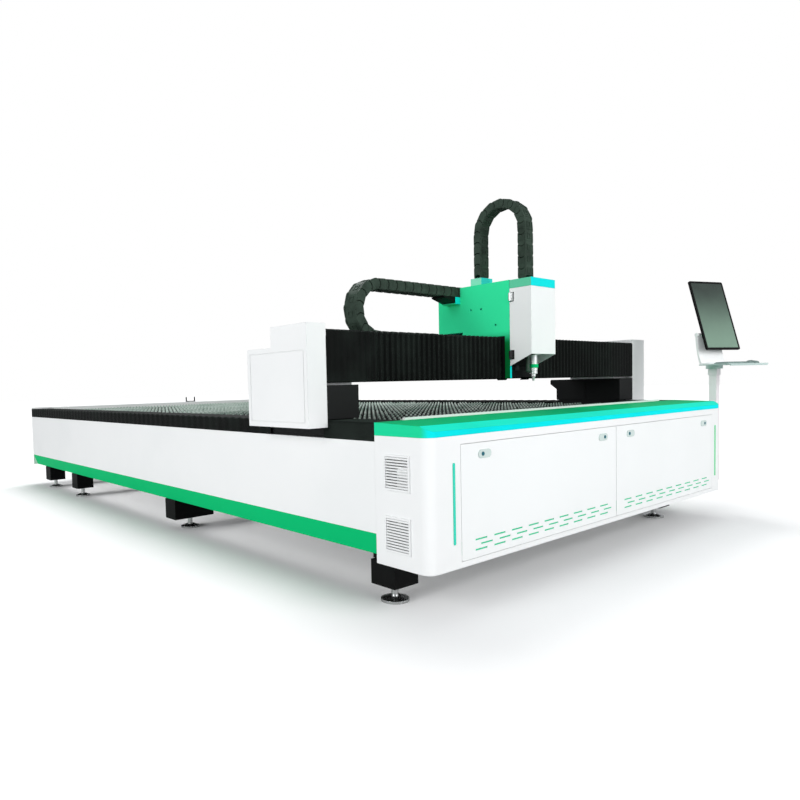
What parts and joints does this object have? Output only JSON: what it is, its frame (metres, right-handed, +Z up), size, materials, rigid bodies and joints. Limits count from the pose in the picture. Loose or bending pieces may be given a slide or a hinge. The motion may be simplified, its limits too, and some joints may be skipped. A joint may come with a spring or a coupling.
{
  "type": "open-bed fiber laser cutting machine",
  "caption": "Open-bed laser cutter: slatted table on levelling feet, front cabinet, gantry on covered rails, lifting cutting head, cable chains and a swivelling operator console.",
  "frame": {"origin": "on the floor, below the middle of the whole machine's bounding box", "axes": "+X to the right across the front, +Y from the front cabinet to the rear, +Z up"},
  "size_m": [2.7432, 4.7236, 1.6857],
  "materials": {
    "panel_white": "satin",
    "green_paint": "satin",
    "teal_paint": "satin",
    "frame_grey": "satin",
    "black_paint": "satin",
    "machined_steel": "machined",
    "slat_steel": "sawn",
    "bellows_cloth": "matt",
    "chain_plastic": "matt",
    "black_plastic": "matt",
    "light_plastic": "gloss",
    "head_aluminium": "anodised",
    "screen_glass": "gloss",
    "chrome_trim": "polished",
    "zinc_steel": "zinc plated"
  },
  "bodies": {
    "bed": {"left_bed_beam": "black_paint", "right_bed_beam": "black_paint", "cross_beams": "black_paint", "legs": "black_paint", "levelling_feet": "zinc_steel", "left_side_panel": "panel_white", "right_side_panel": "panel_white", "kick_stripes": "green_paint", "rear_panel": "panel_white", "bed_rails": "machined_steel", "bed_racks": "machined_steel", "slat_frame": "slat_steel", "slats": "slat_steel", "rear_stop": "frame_grey", "cabinet_shell": "panel_white", "cabinet_cap": "green_paint", "light_strips": "light_plastic", "side_vents": "panel_white", "front_rail_bellows": "bellows_cloth", "rear_rail_bellows": "bellows_cloth", "console_post": "panel_white"},
    "gantry": {"gantry_beam": "frame_grey", "beam_rails": "machined_steel", "beam_rack": "machined_steel", "left_saddle": "black_paint", "right_saddle": "black_paint", "left_end_cover": "panel_white", "right_end_cover": "panel_white", "drive_units": "black_paint", "left_beam_bellows": "bellows_cloth", "right_beam_bellows": "bellows_cloth", "x_chain": "chain_plastic", "chain_tray": "black_paint"},
    "carriage": {"carriage_housing": "green_paint", "carriage_plate": "black_paint", "lift_rails": "machined_steel", "chain_bracket": "black_paint", "z_chain_foot": "teal_paint", "z_chain": "chain_plastic"},
    "head": {"head_back_plate": "machined_steel", "head_cap": "teal_paint", "cutting_head": "head_aluminium", "sensor_ring": "green_paint", "nozzle": "head_aluminium", "cover_hinges": "zinc_steel"},
    "cover": {"head_cover": "panel_white"},
    "left_panel": {"left_front_panel": "panel_white", "left_latch_plates": "chrome_trim"},
    "right_panel": {"right_front_panel": "panel_white", "right_latch_plates": "chrome_trim"},
    "console": {"console_tray": "panel_white", "keyboard": "black_plastic", "mouse": "black_plastic", "monitor_bracket": "panel_white"},
    "display": {"monitor": "black_plastic", "screen": "screen_glass"},
    "left_latch_button_1_body": {"left_latch_button_1": "chrome_trim"},
    "left_latch_button_2_body": {"left_latch_button_2": "chrome_trim"},
    "right_latch_button_1_body": {"right_latch_button_1": "chrome_trim"},
    "right_latch_button_2_body": {"right_latch_button_2": "chrome_trim"}
  },
  "joints": [
    {"name": "gantry_slide", "type": "slide", "parent": "bed", "child": "gantry", "axis": [0, 1, 0], "range_m": [0, 2.9], "deforming": ["front_rail_bellows", "rear_rail_bellows"]},
    {"name": "carriage_slide", "type": "slide", "parent": "gantry", "child": "carriage", "axis": [1, 0, 0], "range_m": [-0.7, 0.7], "deforming": ["left_beam_bellows", "right_beam_bellows", "x_chain"]},
    {"name": "head_lift", "type": "slide", "parent": "carriage", "child": "head", "axis": [0, 0, 1], "range_m": [-0.12, 0], "deforming": ["z_chain"]},
    {"name": "cover_hinge", "type": "hinge", "parent": "head", "child": "cover", "pos_m": [-0.17463, -1.73217, 1.187], "axis": [0, 0, -1], "range_deg": [0, 95]},
    {"name": "left_panel_tilt", "type": "hinge", "parent": "bed", "child": "left_panel", "pos_m": [-0.57383, -2.17817, 0.1735], "axis": [1, 0, 0], "range_deg": [0, 80]},
    {"name": "right_panel_tilt", "type": "hinge", "parent": "bed", "child": "right_panel", "pos_m": [0.49617, -2.17817, 0.1735], "axis": [1, 0, 0], "range_deg": [0, 80]},
    {"name": "console_swivel", "type": "hinge", "parent": "bed", "child": "console", "pos_m": [1.22967, -2.11617, 0.826], "axis": [0, 0, 1], "range_deg": [-60, 45]},
    {"name": "monitor_tilt", "type": "hinge", "parent": "console", "child": "display", "pos_m": [1.22967, -2.11617, 1.018], "axis": [0.9426, -0.3338, 0], "range_deg": [-10, 15]},
    {"name": "left_latch_button_1_press", "type": "slide", "parent": "left_panel", "child": "left_latch_button_1_body", "axis": [0, 1, 0], "range_m": [0, 0.004], "stiffness_N_per_m": 400},
    {"name": "left_latch_button_2_press", "type": "slide", "parent": "left_panel", "child": "left_latch_button_2_body", "axis": [0, 1, 0], "range_m": [0, 0.004], "stiffness_N_per_m": 400},
    {"name": "right_latch_button_1_press", "type": "slide", "parent": "right_panel", "child": "right_latch_button_1_body", "axis": [0, 1, 0], "range_m": [0, 0.004], "stiffness_N_per_m": 400},
    {"name": "right_latch_button_2_press", "type": "slide", "parent": "right_panel", "child": "right_latch_button_2_body", "axis": [0, 1, 0], "range_m": [0, 0.004], "stiffness_N_per_m": 400}
  ]
}
